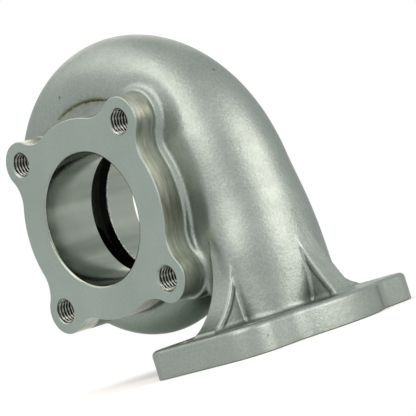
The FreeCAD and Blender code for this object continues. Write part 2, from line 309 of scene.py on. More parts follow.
def scroll_field(x, y, z, tables):
    (at, centre), (_, radius) = tables
    angle = np.degrees(np.arctan2(z, x)) % 360.0
    rho = np.hypot(x, z)
    past = np.maximum(angle - END_ANGLE, 0) * rho * math.pi / 180
    turn = np.minimum(angle, END_ANGLE)
    off = np.hypot(rho - np.interp(turn, at, centre), y - SCROLL_Y)
    return off - np.interp(turn, at, radius) + past


def duct_section(z, tables, start_z, end_z, power=1.0):
    """The duct's radius at a height, the share of its change to the foot, and its centre."""
    (at, centre), (_, radius) = tables
    turn = np.clip(z, start_z, 0) * DEGREES_PER_MM
    share = np.clip((start_z - z) / (start_z - end_z), 0, 1) ** power
    cx = np.interp(turn, at, centre) * (1 - share) + INLET[0] * share
    cy = SCROLL_Y * (1 - share) + INLET[1] * share
    return np.interp(turn, at, radius), share, cx, cy


def duct_field(x, y, z):
    """The duct below the scroll, round at first and a rounded rectangle at its foot."""
    r, t, cx, cy = duct_section(z, SKIN, FLARE_Z, INLET_TOP_Z, FLARE_POWER)
    across = y - cy
    swell = DUCT_SWELL * ease((DUCT_SWELL_START_Z - z) / DUCT_SWELL_FADE) * (1 - t)
    across = np.where(across < 0, np.minimum(across + swell, 0), across)
    sides = [r + (size - r) * t for size in (*FOOT_HALF, FOOT_CORNER_R)]
    return np.maximum(box_2d(x - cx, across, *sides), INLET_TOP_Z - SINK - z)


def duct_gas_field(x, y, z):
    r, t, cx, cy = duct_section(z, GAS, DUCT_LOW_Z, INLET_FACE_Z)
    sides = [r + (size - r) * t for size in (*PORT_HALF, PORT_CORNER_R)]
    return box_2d(x - cx, y - cy, *sides)


def ear_web(grow):
    """Radii of the outlet flange's outline, and a hollow's centre as distance and angle."""
    body_r, ear_r, web_r = BODY_R + grow, EAR_R + grow, WEB_R - grow
    reach, ear_reach = body_r + web_r, ear_r + web_r
    swing = math.acos((PITCH_R ** 2 + reach ** 2 - ear_reach ** 2) / (2 * PITCH_R * reach))
    return body_r, ear_r, web_r, reach, swing


def ear_field(x, z, grow):
    """Distance to the outlet flange's outline: a round body, four ears and hollow webs."""
    body_r, ear_r, web_r, reach, swing = ear_web(grow)
    web = (reach * math.cos(swing), reach * math.sin(swing))
    u = (np.abs(x) + np.abs(z)) / math.sqrt(2)
    v = np.abs(np.abs(x) - np.abs(z)) / math.sqrt(2)
    in_web = (u * web[1] - v * web[0] > 0) & ((web[0] - PITCH_R) * v - web[1] * (u - PITCH_R) > 0)
    hollow = web_r - np.hypot(u - web[0], v - web[1])
    rounds = np.minimum(np.hypot(u, v) - body_r, np.hypot(u - PITCH_R, v) - ear_r)
    return np.where(in_web, hollow, rounds)


def inlet_web(grow):
    """Half sizes and radii of the inlet flange's outline, and the centre of a hollow."""
    half_x, half_y = INLET_HALF[0] + grow, INLET_HALF[1] + grow
    corner, swell, web_r = INLET_CORNER_R + grow, SWELL_R + grow, SWELL_WEB_R - grow
    web_x = half_x + web_r
    web_y = math.sqrt((swell + web_r) ** 2 - web_x ** 2)
    return half_x, half_y, corner, swell, web_r, web_x, web_y


def inlet_field(x, y, grow):
    half_x, half_y, corner, swell, web_r, web_x, web_y = inlet_web(grow)
    u, v = np.abs(x - INLET[0]), np.abs(y - INLET[1])
    plain = np.minimum(box_2d(u, v, half_x, half_y, corner), np.hypot(u, v) - swell)
    in_web = (web_x * v - web_y * u > 0) & (v < web_y)
    return np.where(in_web, np.minimum(plain, web_r - np.hypot(u - web_x, v - web_y)), plain)


def rib_field(along, across, z, reach, sag):
    """One rib, a blade with a hollow edge and a raised rim."""
    root = np.array([RIB_ROOT, RIB_TOP_Z])
    tip = np.array([reach, RIB_TIP_Z])
    chord = tip - root
    half = np.hypot(*chord) / 2
    inward = np.array([chord[1], -chord[0]]) / (2 * half)
    bend_r = (half ** 2 + sag ** 2) / (2 * sag)
    centre = (root + tip) / 2 + inward * (sag - bend_r)
    edge = bend_r - np.hypot(along - centre[0], z - centre[1])
    edge = edge + RIB_TOP_BEND * np.maximum(z - RIB_TOP_Z, 0) ** 2
    waist = RIB_HALF - RIB_RIM_DEPTH * ease((-edge - RIB_RIM) / RIB_RIM_FADE)
    blade = common(edge, np.abs(across) - waist, RIB_EDGE)
    height = slab(z, INLET_TOP_Z - SINK, min(centre[1], RIB_TOP_Z + RIB_PAST_TOP))
    return np.maximum(np.maximum(blade, slab(along, RIB_INNER, reach)), height)


def gas_field(x, y, z):
    """Everything the gas, the wheel and the bearing housing take out of the casting."""
    rho = np.hypot(x, z)
    gas = scroll_field(x, y, z, GAS)
    far_r = FAR_R + BORE_ROOM + LEAD_IN_SLOPE * np.maximum(y - LEAD_IN_Y + END_ROOM, 0)
    spigot_r = SPIGOT_R + BORE_ROOM + SPIGOT_SLOPE * np.maximum(y - SPIGOT_CHAMFER_Y, 0)
    throat = slab(y, THROAT_Y - THROAT_ROOM, THROAT_END_Y + THROAT_ROOM)
    cuts = (np.where((z < 0) & (x > 0), duct_gas_field(x, y, z), FAR_AWAY),
            np.maximum(rho - BORE_R - BORE_ROOM, y - THROAT_Y + END_ROOM),
            np.maximum(rho - THROAT_R, throat),
            np.maximum(rho - far_r, THROAT_END_Y + END_ROOM - y),
            np.maximum(rho - spigot_r, SPIGOT_Y + END_ROOM - y))
    for cut in cuts:
        gas = np.minimum(gas, cut)
    return gas


def holes_field(x, y, z):
    """The screw holes of the outlet flange, the bearing ring and the inlet flange."""
    tapped = np.hypot(np.abs(x) - HOLE_XZ, np.abs(z) - HOLE_XZ) - TAP_ROOM_R
    holes = np.maximum(tapped, y - TAP_DEPTH - END_ROOM)
    step = 2 * math.pi / RING_HOLES
    local = (np.arctan2(z, x) % step) - step / 2
    rho = np.hypot(x, z)
    ring = np.hypot(rho * np.cos(local) - RING_PITCH_R, rho * np.sin(local))
    ring = ring - RING_HOLE_R - END_ROOM
    holes = np.minimum(holes, np.maximum(ring, FACE_Y - RING_HOLE_DEPTH - END_ROOM - y))
    u, v = np.abs(x - INLET[0]), np.abs(y - INLET[1])
    bolt = np.hypot(u - INLET_HOLE_AT[0], v - INLET_HOLE_AT[1]) - INLET_HOLE_R - END_ROOM
    return np.minimum(holes, np.maximum(bolt, z - INLET_HOLE_ROOM_Z))


def stretch(turn, middle, start, fade):
    """1 along a stretch round the turbine axis and 0 elsewhere, with soft ends."""
    return ease((np.cos(turn - middle) - start) / fade)


def carve_collar(body, x, y, z):
    """The cast collar behind the outlet flange, rimmed on the duct's side and milled at its edge."""
    outline = ear_field(x, z, 0.0)
    turn = np.arctan2(z, x)
    rimmed = stretch(turn, *RIM_STRETCH)
    hollowed = stretch(turn, *VALLEY_STRETCH)
    pocket = stretch(turn, *POCKET_STRETCH)
    valley = np.hypot(outline - VALLEY_OUTLINE, y - VALLEY_Y) - VALLEY_R - VALLEY_MORE_R * hollowed
    body = common(body, -valley, VALLEY_EDGE)
    height = slab(y, COLLAR_START_Y, COLLAR_Y)
    collar = np.maximum(outline - COLLAR_GROW - RIM_GROW * rimmed, height)
    body = fuse(body, collar, COLLAR_FILLET + RIM_FILLET * rimmed)
    depth = FLANGE_THICK + POCKET_DEPTH * pocket
    milled = np.maximum(slab(outline, -CUTTER_SINK, CUTTER_REACH), y - depth)
    return common(body, -milled, COLLAR_EDGE * (1 + POCKET_EDGE * pocket))


def casting_field(x, y, z):
    """The whole cast skin, with everything that is cut out of it."""
    rho = np.hypot(x, z)
    duct = np.where((z < 0) & (x > 0), duct_field(x, y, z), FAR_AWAY)
    body = melt(scroll_field(x, y, z, SKIN), duct, DUCT_BLEND)
    neck = np.maximum(rho - NECK_R, slab(y, NECK_START_Y, NECK_END_Y))
    body = melt(body, neck, NECK_BLEND)
    body = carve_collar(body, x, y, z)
    ring = common(rho - RING_R, slab(y, RING_Y, FACE_Y - SKIN_SINK), RING_EDGE)
    body = fuse(body, ring, RING_FILLET)
    across, along = x - INLET[0], y - INLET[1]
    long_rib = rib_field(np.abs(along), across, z, *LONG_RIB)
    thin = WIDE_RIB_THIN * ease((z - WIDE_RIB_THIN_Z) / WIDE_RIB_THIN_FADE)
    wide_rib = rib_field(np.abs(across) + thin, along, z, *WIDE_RIB)
    body = fuse(body, np.minimum(long_rib, wide_rib), RIB_FILLET)
    thick = slab(z, INLET_FACE_Z + SKIN_SINK, INLET_TOP_Z - SKIN_SINK_TOP)
    plate = common(inlet_field(x, y, -SKIN_SINK), thick, INLET_EDGE_R)
    body = fuse(body, plate, FOOT_FILLET)
    return np.maximum(body, -np.minimum(gas_field(x, y, z), holes_field(x, y, z)))


# From the field to a mesh
def slope(field, points, step=0.02):
    """The field and its gradient at points."""
    x, y, z = points.T
    here = field(x, y, z)
    grad = np.empty_like(points)
    for axis in range(3):
        push = np.zeros(3)
        push[axis] = step
        grad[:, axis] = (field(*(points + push).T) - field(*(points - push).T)) / (2 * step)
    return here, grad


def settle(field, points, reach, rounds=3):
    """Moves points onto the zero surface along its gradient."""
    for _ in range(rounds):
        here, grad = slope(field, points)
        size = np.maximum((grad ** 2).sum(1), LEAST_SLOPE)
        move = np.clip(here / size, -reach, reach)
        points = points - grad * move[:, None]
    return points


def cell_points(values, cells):
    """The mean of the places where a cell's edges cross zero, one for each cell."""
    corner_values = np.stack([values[tuple((cells + c).T)] for c in np.array(CORNERS)], 1)
    total = np.zeros((len(cells), 3))
    crossings = np.zeros(len(cells))
    for a, b in EDGES:
        va, vb = corner_values[:, a], corner_values[:, b]
        crossed = (va < 0) != (vb < 0)
        t = np.where(crossed, va / np.where(crossed, va - vb, 1), 0)
        start, way = np.array(CORNERS[a]), np.array(CORNERS[b]) - np.array(CORNERS[a])
        total += np.where(crossed[:, None], start + t[:, None] * way, 0)
        crossings += crossed
    return cells + total / crossings[:, None]


def cell_quads(inside, number, axis):
    """The quads round the grid's edges along one axis that leave or enter the solid."""
    one, two = [k for k in range(3) if k != axis]
    n = [s - 1 for s in inside.shape]
    window = [slice(1, n[k]) for k in range(3)]
    window[axis] = slice(0, n[axis])
    shifted = list(window)
    shifted[axis] = slice(1, n[axis] + 1)
    here, there = inside[tuple(window)], inside[tuple(shifted)]
    quads = []
    for leaving in (True, False):
        edges = np.argwhere((here != there) & (here == leaving))
        edges += [w.start for w in window]
        back_one, back_two = np.zeros(3, int), np.zeros(3, int)
        back_one[one] = 1
        back_two[two] = 1
        loop = [edges - back_one - back_two, edges - back_two, edges, edges - back_one]
        if (axis == 1) == leaving:
            loop.reverse()
        quads.append(np.stack([number[tuple(c.T)] for c in loop], 1))
    return quads


def surface(field, low, high, step):
    """Vertices and quads of the field's zero surface on a grid of cells."""
    axes = [np.arange(low[k], high[k] + step, step) for k in range(3)]
    values = np.empty([len(a) for a in axes], np.float32)
    for k, z in enumerate(axes[2]):
        x, y = np.meshgrid(axes[0], axes[1], indexing="ij")
        values[:, :, k] = field(x, y, np.full_like(x, z))
    inside = values < 0
    nx, ny, nz = (n - 1 for n in values.shape)
    count = np.zeros((nx, ny, nz), np.int8)
    for i, j, k in CORNERS:
        count += inside[i:i + nx, j:j + ny, k:k + nz]
    cells = np.argwhere((count > 0) & (count < 8))
    points = cell_points(values, cells) * step + np.array([a[0] for a in axes])
    number = np.full((nx, ny, nz), -1, np.int64)
    number[tuple(cells.T)] = np.arange(len(cells))
    quads = [quad for axis in range(3) for quad in cell_quads(inside, number, axis)]
    return points, np.concatenate(quads)


# Pieces
def body_piece(name, points, faces, materials):
    """A smooth piece from points in millimetres."""
    mesh = bpy.data.meshes.new(name)
    mesh.from_pydata(points * MM, [], faces)
    for material in materials:
        mesh.materials.append(material)
    mesh.polygons.foreach_set("use_smooth", [True] * len(mesh.polygons))
    mesh.update()
    piece = bpy.data.objects.new(name, mesh)
    bpy.context.scene.collection.objects.link(piece)
    return piece


def modified(piece, kind, **settings):
    """Applies one modifier and returns the piece."""
    modifier = piece.modifiers.new(kind.title(), kind)
    for key, value in settings.items():
        setattr(modifier, key, value)
    graph = bpy.context.evaluated_depsgraph_get()
    mesh = bpy.data.meshes.new_from_object(piece.evaluated_get(graph))
    piece.modifiers.clear()
    piece.data = mesh
    return piece


class Shell:
    """Collects the rings, strips and flat faces of an exact mesh."""

    def __init__(self):
        self.points = []
        self.faces = []
        self.materials = []

    def ring(self, points):
        first = len(self.points)
        self.points.extend(points)
        return list(range(first, len(self.points)))

    def strip(self, one, two, material):
        n = len(one)
        for k in range(n):
            self.faces.append((one[k], one[(k + 1) % n], two[(k + 1) % n], two[k]))
            self.materials.append(material)

    def walls(self, rings, material):
        """A wall through rings of points, each with as many; returns the rings' numbers."""
        made = [self.ring(points) for points in rings]
        for one, two in zip(made, made[1:]):
            self.strip(one, two, material)
        return made

    def flat(self, loops, material):
        """A flat face with holes; the first loop is its outline."""
        ids = [i for loop in loops for i in loop]
        chains = [[Vector(self.points[i]) for i in loop] for loop in loops]
        for triangle in tessellate_polygon(chains):
            self.faces.append(tuple(ids[i] for i in triangle))
            self.materials.append(material)

    def piece(self, name, materials, sharp):
        """The finished piece, with edges kept sharp from an angle in degrees."""
        piece = body_piece(name, np.array(self.points), self.faces, materials)
        slots = {material.name: slot for slot, material in enumerate(materials)}
        piece.data.polygons.foreach_set("material_index", [slots[m.name] for m in self.materials])
        piece.data.set_sharp_from_angle(angle=math.radians(sharp))
        return modified(piece, "WEIGHTED_NORMAL", keep_sharp=True, weight=90)


def circle(radius, y, n, x=0.0, z=0.0):
    turn = [2 * math.pi * k / n for k in range(n)]
    return [(x + radius * math.cos(t), y, z + radius * math.sin(t)) for t in turn]


def arc_points(cx, cy, radius, first, last, n):
    return [(cx + radius * math.cos(first + (last - first) * k / n),
             cy + radius * math.sin(first + (last - first) * k / n)) for k in range(n)]


def near(angle, reference):
    """The same direction, within half a turn of the reference."""
    return angle - 2 * math.pi * round((angle - reference) / (2 * math.pi))


def ear_outline(grow, n=14):
    """The outlet flange's outline as points, the same number for any growth."""
    body_r, ear_r, web_r, reach, swing = ear_web(grow)
    points = []
    for quarter in range(4):
        at = math.pi / 4 + math.pi / 2 * quarter
        ear = (PITCH_R * math.cos(at), PITCH_R * math.sin(at))
        before = (reach * math.cos(at - swing), reach * math.sin(at - swing))
        after = (reach * math.cos(at + swing), reach * math.sin(at + swing))
        start = at - swing + math.pi
        into = near(math.atan2(ear[1] - before[1], ear[0] - before[0]), start)
        points += arc_points(*before, web_r, start, into, n)
        first = math.atan2(before[1] - ear[1], before[0] - ear[0])
        last = near(math.atan2(after[1] - ear[1], after[0] - ear[0]), first + math.pi)
        points += arc_points(*ear, ear_r, first, last, 2 * n)
        end = at + swing + math.pi
        out = near(math.atan2(ear[1] - after[1], ear[0] - after[0]), end)
        points += arc_points(*after, web_r, out, end, n)
        points += arc_points(0, 0, body_r, at + swing, at + math.pi / 2 - swing, 2 * n)
    return points


def inlet_outline(grow, n=12):
    """The inlet flange's outline as points, the same number for any growth."""
    half_x, half_y, corner, swell, web_r, web_x, web_y = inlet_web(grow)
    swing = math.atan2(web_y, web_x)
    quarter = math.pi / 2
    points = []
    for side, s in ((0, 1), (math.pi, -1)):
        corner_x, corner_y = s * (half_x - corner), s * (half_y - corner)
        points += arc_points(0, 0, swell, side - swing, side + swing, 3 * n)
        points += arc_points(s * web_x, s * web_y, web_r, side + math.pi + swing, side + math.pi, n)
        points += arc_points(corner_x, corner_y, corner, side, side + quarter, n)
        points += arc_points(-corner_x, corner_y, corner, side + quarter, side + math.pi, n)
        points += arc_points(-s * web_x, s * web_y, web_r, side, side - swing, n)
    return [(x + INLET[0], y + INLET[1]) for x, y in points]


def port_outline(grow, n=8):
    """The port's outline as points."""
    half_x, half_y = PORT_HALF[0] + grow, PORT_HALF[1] + grow
    corner = PORT_CORNER_R + grow
    points = []
    for quarter, (sx, sy) in enumerate(SIGNS):
        points += arc_points(INLET[0] + sx * (half_x - corner), INLET[1] + sy * (half_y - corner),
                             corner, math.pi / 2 * quarter, math.pi / 2 * (quarter + 1), n)
    return points


def at_y(outline, y):
    return [(x, y, z) for x, z in outline]


def at_z(outline, z):
    return [(x, y, z) for x, y in outline]


# Materials
# The olive stain above the outlet flange: its middle, the radius of the crease that it follows,
# and the distances over which it fades.
STAIN = (0.0, 11.5, 44.5)
CREASE_R = 44.9
STAIN_FADE = (17.0, 10.0)
CREASE_FADE = (2.6, 0.4)
STAIN_COLOUR = (0.200, 0.200, 0.130)
# The dark smudge on the milled edge.
SMUDGE = (38.4, 6.0, -8.2)
SMUDGE_FADE = (11.0, 1.0)
SMUDGE_SHARE = 0.75
SMUDGE_COLOUR = (0.52, 0.49, 0.42)
# Small dark specks of the cast skin: place and radius.
MARKS = (((57.3, 29.4, 38.6), 0.75),
         ((-8.8, 11.1, 50.6), 0.7),
         ((81.3, -11.3, -59.5), 0.55),
         ((72.2, 12.5, -51.0), 0.75))
MARK_COLOUR = (0.10, 0.11, 0.095)
# Painted shade on the skin that faces down, which is darkened: the normal's z where that starts and
# ends, and the tint.
PAINTED_SHADE_FROM = -0.15
PAINTED_SHADE_TO = -0.75
PAINTED_SHADE_COLOUR = (0.62, 0.70, 0.61)
# Sockets of the colour Mix node.
MIX_FACTOR = 0
MIX_ONE = 6
MIX_TWO = 7
MIX_RESULT = 2


def nodes_of(name):
    material = bpy.data.materials.new(name)
    material.use_nodes = True
    tree = material.node_tree
    return material, tree, tree.nodes["Principled BSDF"]


def is_socket(value):
    return hasattr(value, "is_linked")


def add(tree, kind, inputs=None, **settings):
    """A node with its settings, each input a value or a socket to link."""
    node = tree.nodes.new(kind)
    for key, value in settings.items():
        setattr(node, key, value)
    for key, value in (inputs or {}).items():
        if is_socket(value):
            tree.links.new(value, node.inputs[key])
        else:
            node.inputs[key].default_value = value
    return node


def object_place(tree):
    return add(tree, "ShaderNodeTexCoord").outputs["Object"]


def grain(tree, scale, detail=3.0, rough=0.55, scaling=None, bend=0.0):
    """Noise in object space, whose scale is cycles per metre."""
    place = object_place(tree)
    if scaling:
        place = add(tree, "ShaderNodeMapping", {"Vector": place, "Scale": scaling}).outputs[0]
    inputs = {"Vector": place, "Scale": scale, "Detail": detail, "Roughness": rough,
              "Distortion": bend}
    return add(tree, "ShaderNodeTexNoise", inputs).outputs["Fac"]


def ramp(tree, value, stops):
    """Colours by the value at each stop; a single number is a grey."""
    node = add(tree, "ShaderNodeValToRGB", {"Fac": value})
    elements = node.color_ramp.elements
    while len(elements) < len(stops):
        elements.new(0.5)
    for element, (position, colour) in zip(elements, stops):
        element.position = position
        element.color = (*(colour if isinstance(colour, tuple) else (colour,) * 3), 1.0)
    return node.outputs["Color"]


def bump(tree, height, strength, distance, below=None):
    inputs = {"Height": height, "Strength": strength, "Distance": distance}
    if below is not None:
        inputs["Normal"] = below
    return add(tree, "ShaderNodeBump", inputs).outputs["Normal"]


def mix(tree, factor, one, two, blend="MIX"):
    """Two colours mixed by a factor; each of the three is a value or a socket."""
    one, two = (colour if is_socket(colour) else (*colour, 1.0) for colour in (one, two))
    inputs = {MIX_FACTOR: factor, MIX_ONE: one, MIX_TWO: two}
    node = add(tree, "ShaderNodeMix", inputs, data_type="RGBA", blend_type=blend)
    return node.outputs[MIX_RESULT]


def multiply(tree, one, two):
    return mix(tree, 1.0, one, two, "MULTIPLY")


def fade(tree, value, start, end, top=1.0, kind="LINEAR"):
    """0 where the value is at the start, top where it is at the end, and held beyond both."""
    inputs = {"Value": value, "From Min": start, "From Max": end, "To Max": top}
    return add(tree, "ShaderNodeMapRange", inputs, interpolation_type=kind).outputs[0]


def fade_round(tree, middle, start, end, top=1.0, kind="LINEAR"):
    """The same by the distance from a place, all in millimetres."""
    inputs = {0: object_place(tree), 1: [v * MM for v in middle]}
    away = add(tree, "ShaderNodeVectorMath", inputs, operation="DISTANCE").outputs["Value"]
    return fade(tree, away, start * MM, end * MM, top, kind)


def coat(tree, shader, tone, gloss, metallic=1.0, normal=None):
    """Links the finished colour, roughness and normal to the shader."""
    tree.links.new(tone, shader.inputs["Base Color"])
    tree.links.new(gloss, shader.inputs["Roughness"])
    shader.inputs["Metallic"].default_value = metallic
    if normal is not None:
        tree.links.new(normal, shader.inputs["Normal"])


def stained(tree, tone):
    """The tone with an olive stain along the crease above the outlet flange."""
    around = fade_round(tree, STAIN, *STAIN_FADE)
    inputs = {0: object_place(tree), 1: (1.0, 0.0, 1.0)}
    flat = add(tree, "ShaderNodeVectorMath", inputs, operation="MULTIPLY").outputs[0]
    radius = add(tree, "ShaderNodeVectorMath", {0: flat}, operation="LENGTH").outputs["Value"]
    inputs = {0: radius, 1: CREASE_R * MM}
    off = add(tree, "ShaderNodeMath", inputs, operation="SUBTRACT").outputs[0]
    off = add(tree, "ShaderNodeMath", {0: off}, operation="ABSOLUTE").outputs[0]
    along = fade(tree, off, *(distance * MM for distance in CREASE_FADE))
    patches = ramp(tree, grain(tree, 420.0, 4.0), [(0.34, 0.15), (0.60, 0.85)])
    share = multiply(tree, multiply(tree, patches, along), around)
    return mix(tree, share, tone, STAIN_COLOUR)


def cast_skin():
    """Blasted casting: pale greenish grey, satin, with a fine grain, a few specks and painted shade
    where the skin faces down.
    """
    material, tree, shader = nodes_of("cast_skin")
    tone = ramp(tree, grain(tree, 40.0, 5.0),
                [(0.30, (0.260, 0.300, 0.276)), (0.70, (0.300, 0.343, 0.315))])
    fleck = ramp(tree, grain(tree, 1100.0), [(0.34, 0.85), (0.64, 1.0)])
    tone = multiply(tree, tone, fleck)
    marks = None
    for spot, size in MARKS:
        mark = fade_round(tree, spot, size, 0.4 * size)
        marks = mark if marks is None else add(
            tree, "ShaderNodeMath", {0: marks, 1: mark}, operation="MAXIMUM").outputs[0]
    tone = mix(tree, marks, tone, MARK_COLOUR)
    # Painted shade: the skin that faces down is darkened by a tint.
    normal = add(tree, "ShaderNodeNewGeometry").outputs["Normal"]
    facing = add(tree, "ShaderNodeSeparateXYZ", {0: normal}).outputs["Z"]
    below = fade(tree, facing, PAINTED_SHADE_FROM, PAINTED_SHADE_TO, kind="SMOOTHSTEP")
    tone = mix(tree, below, tone, multiply(tree, tone, PAINTED_SHADE_COLOUR))
    shader.inputs["Specular Tint"].default_value = (0.72, 0.72, 0.72, 1.0)
    gloss = ramp(tree, grain(tree, 150.0, 5.0), [(0.3, 0.36), (0.7, 0.45)])
    wave = bump(tree, grain(tree, 150.0, 2.0), 0.30, 0.0005)
    peel = bump(tree, grain(tree, 1150.0, 2.0), 0.45, 0.00019, wave)
    fine = bump(tree, grain(tree, 2600.0, 2.0), 0.35, 0.00008, peel)
    coat(tree, shader, stained(tree, tone), gloss, normal=bump(tree, marks, -0.6, 0.0003, fine))
    return material


def machined_face():
    """Faced flange: smooth, with faint tool marks and handling smudges."""
    material, tree, shader = nodes_of("machined_face")
    tone = ramp(tree, grain(tree, 30.0, 5.0),
                [(0.30, (0.262, 0.311, 0.279)), (0.72, (0.316, 0.366, 0.331))])
    fleck = ramp(tree, grain(tree, 900.0), [(0.35, 0.94), (0.65, 1.0)])
    gloss = ramp(tree, grain(tree, 240.0, 4.0), [(0.3, 0.30), (0.7, 0.40)])
    lay = bump(tree, grain(tree, 700.0, 2.0, 0.5, (1.0, 1.0, 0.08)), 0.10, 0.00006)
    coat(tree, shader, multiply(tree, tone, fleck), gloss, normal=lay)
    return material


def milled_side():
    """Milled edge of the outlet flange: pale, with wavy strokes that run along the edge."""
    material, tree, shader = nodes_of("milled_side")
    tone = ramp(tree, grain(tree, 55.0, 4.0),
                [(0.32, (0.372, 0.394, 0.332)), (0.70, (0.630, 0.664, 0.572))])
    stroke = grain(tree, 380.0, 3.0, 0.6, (0.13, 1.7, 0.13), 1.6)
    tone = multiply(tree, tone, ramp(tree, stroke, [(0.38, 0.70), (0.58, 1.0)]))
    smudge = fade_round(tree, SMUDGE, *SMUDGE_FADE, SMUDGE_SHARE, "SMOOTHSTEP")
    tone = mix(tree, smudge, tone, multiply(tree, tone, SMUDGE_COLOUR))
    gloss = ramp(tree, stroke, [(0.3, 0.34), (0.7, 0.46)])
    coat(tree, shader, tone, gloss, normal=bump(tree, stroke, 0.40, 0.00014))
    return material


def bored_wall():
    """Honed bore: smooth and satin, with long soft bands along the axis that are partly painted
    reflections and partly smudges.
    """
    material, tree, shader = nodes_of("bored_wall")
    # Painted reflection: long bands in the colour along the axis stand in for reflections of the
    # surroundings, mixed with smudges.
    reflection_band = grain(tree, 75.0, 3.0, 0.5, (1.0, 0.10, 1.0))
    tone = ramp(tree, reflection_band, [(0.34, (0.175, 0.206, 0.172)), (0.52, (0.262, 0.298, 0.260)),
                             (0.70, (0.300, 0.328, 0.286))])
    gloss = ramp(tree, grain(tree, 160.0, 4.0), [(0.3, 0.15), (0.7, 0.24)])
    coat(tree, shader, tone, gloss)
    return material


def thread_flank():
    """Cut threads and drilled holes; the grooves get their own material, painted black as shade."""
    material, tree, shader = nodes_of("thread_flank")
    tone = ramp(tree, grain(tree, 400.0), [(0.3, (0.20, 0.22, 0.20)), (0.7, (0.30, 0.32, 0.29))])
    gloss = ramp(tree, grain(tree, 500.0, 2.0), [(0.3, 0.26), (0.7, 0.36)])
    coat(tree, shader, tone, gloss)
    return material


def thread_groove_shade():
    """The bottom of the thread, painted black as shade."""
    material, tree, shader = nodes_of("thread_groove_shade")
    tone = ramp(tree, grain(tree, 700.0, 2.0),
                [(0.3, (0.020, 0.022, 0.018)), (0.7, (0.055, 0.058, 0.050))])
    gloss = ramp(tree, grain(tree, 500.0, 2.0), [(0.3, 0.40), (0.7, 0.55)])
    coat(tree, shader, tone, gloss, metallic=0.8)
    return material


def burr_edge():
    """Bright torn metal on the throat's far lip."""
    material, tree, shader = nodes_of("burr_edge")
    tone = ramp(tree, grain(tree, 1300.0, 2.0),
                [(0.40, (0.30, 0.31, 0.27)), (0.55, (0.86, 0.87, 0.83))])
    gloss = ramp(tree, grain(tree, 900.0, 2.0), [(0.3, 0.35), (0.7, 0.55)])
    coat(tree, shader, tone, gloss, metallic=0.5)
    return material


def passage_wall():
    """Rough inner wall of the gas passage, darkened to near black."""
    material, tree, shader = nodes_of("passage_wall")
    tone = ramp(tree, grain(tree, 90.0, 6.0),
                [(0.3, (0.036, 0.039, 0.030)), (0.7, (0.072, 0.076, 0.064))])
    gloss = ramp(tree, grain(tree, 300.0, 4.0), [(0.3, 0.65), (0.7, 0.85)])
    scale = bump(tree, grain(tree, 900.0, 4.0), 0.5, 0.0004)
    coat(tree, shader, tone, gloss, metallic=0.6, normal=scale)
    return material


CAST = cast_skin()
FACED = machined_face()
MILLED = milled_side()
BORED = bored_wall()
THREAD = thread_flank()
GROOVE_SHADE = thread_groove_shade()
BURR = burr_edge()
PASSAGE = passage_wall()


# The cast skin
def cast_piece():
    """The casting's skin, thinned to its share of triangles, with the field's own normals."""
    points, quads = surface(casting_field, GRID_LOW, GRID_HIGH, GRID_STEP)
    points = settle(casting_field, points, FIRST_SETTLE)
    piece = body_piece("casting", points, quads.tolist(), [CAST, PASSAGE])
    share = min(1.0, CAST_TRIANGLES / (2 * len(quads)))
    piece = modified(piece, "DECIMATE", ratio=share)
    mesh = piece.data
    points = np.empty(len(mesh.vertices) * 3)
    mesh.vertices.foreach_get("co", points)
    points = settle(casting_field, points.reshape(-1, 3) / MM, LAST_SETTLE, 1)
    mesh.vertices.foreach_set("co", (points * MM).ravel())
    _, normals = slope(casting_field, points, NORMAL_STEP)
    normals /= np.maximum(np.linalg.norm(normals, axis=1), 1e-6)[:, None]
    centres = np.empty(len(mesh.polygons) * 3)
    mesh.polygons.foreach_get("center", centres)
    in_passage = gas_field(*(centres.reshape(-1, 3) / MM).T) < PASSAGE_REACH
    mesh.polygons.foreach_set("material_index", in_passage.astype(np.int32))
    mesh.polygons.foreach_set("use_smooth", [True] * len(mesh.polygons))
    mesh.update()
    mesh.normals_split_custom_set_from_vertices(normals.tolist())
    return piece


# Machined surfaces
def thread_wall(shell, x, z, phase):
    """A chamfered mouth and the helical flanks of one M10 thread, down to the hole's floor."""
    rows = int(TAP_DEPTH / THREAD_PITCH * THREAD_ROWS_PER_TURN)
    rings = []
    for row in range(rows + 1):
        y = TAP_DEPTH * row / rows
        ring = []
        for k in range(THREAD_ROUND):
            turn = 2 * math.pi * k / THREAD_ROUND
            place = (y / THREAD_PITCH - k / THREAD_ROUND + phase) % 1.0
            flank = min(1.0, THREAD_STEEP * (0.5 - abs(place - 0.5)))
            radius = max(TAP_R + THREAD_HEIGHT * flank, THREAD_MOUTH_R - y)
            ring.append((x + radius * math.cos(turn), y, z + radius * math.sin(turn)))
        rings.append(ring)
    first = len(shell.faces)
    made = shell.walls(rings[::-1], THREAD)
    # Painted shade: faces in the thread's groove get the black groove material.
    for number in range(first, len(shell.faces)):
        corners = [shell.points[i] for i in shell.faces[number]]
        middle = [sum(c[k] for c in corners) / 4 for k in range(3)]
        if middle[1] < THREAD_MOUTH_Y:
            shell.materials[number] = FACED
        elif math.hypot(middle[0] - x, middle[2] - z) > THREAD_GROOVE_R:
            shell.materials[number] = GROOVE_SHADE
    shell.flat([made[0]], THREAD)
    return made[-1]


def outlet_flange(shell):
    """The outlet flange's face with its rounded edge, its milled side and its threaded holes."""
    edge = [(0.0, 0.45), (-0.10, 0.20), (-0.26, 0.06), (-0.45, 0.0)]
    rim = shell.walls([at_y(ear_outline(grow), y) for grow, y in edge], FACED)
    heights = (12.6, FLANGE_THICK, 6.5, 3.0, edge[0][1])
    shell.walls([at_y(ear_outline(0.0), y) for y in heights], MILLED)
    mouths = [thread_wall(shell, sx * HOLE_XZ, sz * HOLE_XZ, 0.3 * k)
              for k, (sx, sz) in enumerate(SIGNS)]
    mouth = shell.ring(circle(BORE_R + BORE_CHAMFER, 0.0, ROUND))
    shell.flat([rim[-1], mouth] + mouths, FACED)


